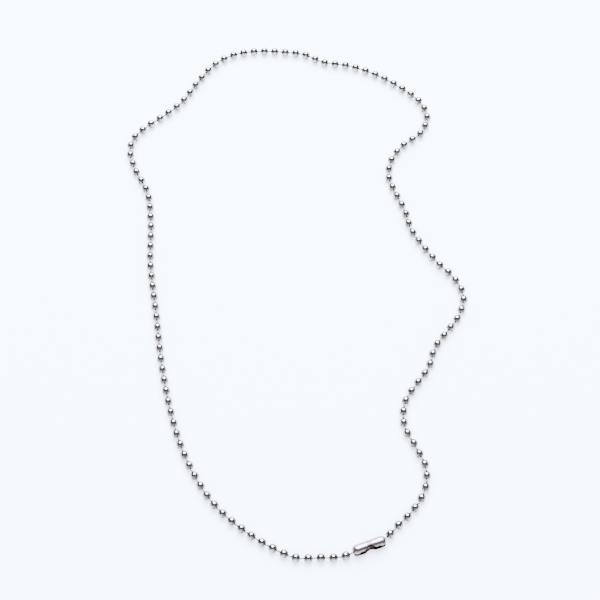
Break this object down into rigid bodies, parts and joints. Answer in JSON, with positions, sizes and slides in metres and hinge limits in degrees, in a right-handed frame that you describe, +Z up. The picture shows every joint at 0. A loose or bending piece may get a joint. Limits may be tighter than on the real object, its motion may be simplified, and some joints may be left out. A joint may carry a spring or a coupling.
{
  "type": "ball chain necklace",
  "caption": "Polished steel ball chain necklace, a closed loop of hollow balls on short pins, joined by a slotted sleeve coupling and lying flat on a table.",
  "frame": {"origin": "centre of the lying loop's bounding box, on the table", "axes": "+Z up from the table, +Y along the loop's longest extent, away from the coupling"},
  "size_m": [0.1018, 0.1674, 0.0031],
  "materials": {
    "chain_metal": "polished nickel plate",
    "coupling_metal": "polished nickel plate"
  },
  "bodies": {
    "root": {"ball_chain": "chain_metal", "coupling": "coupling_metal"}
  },
  "joints": []
}
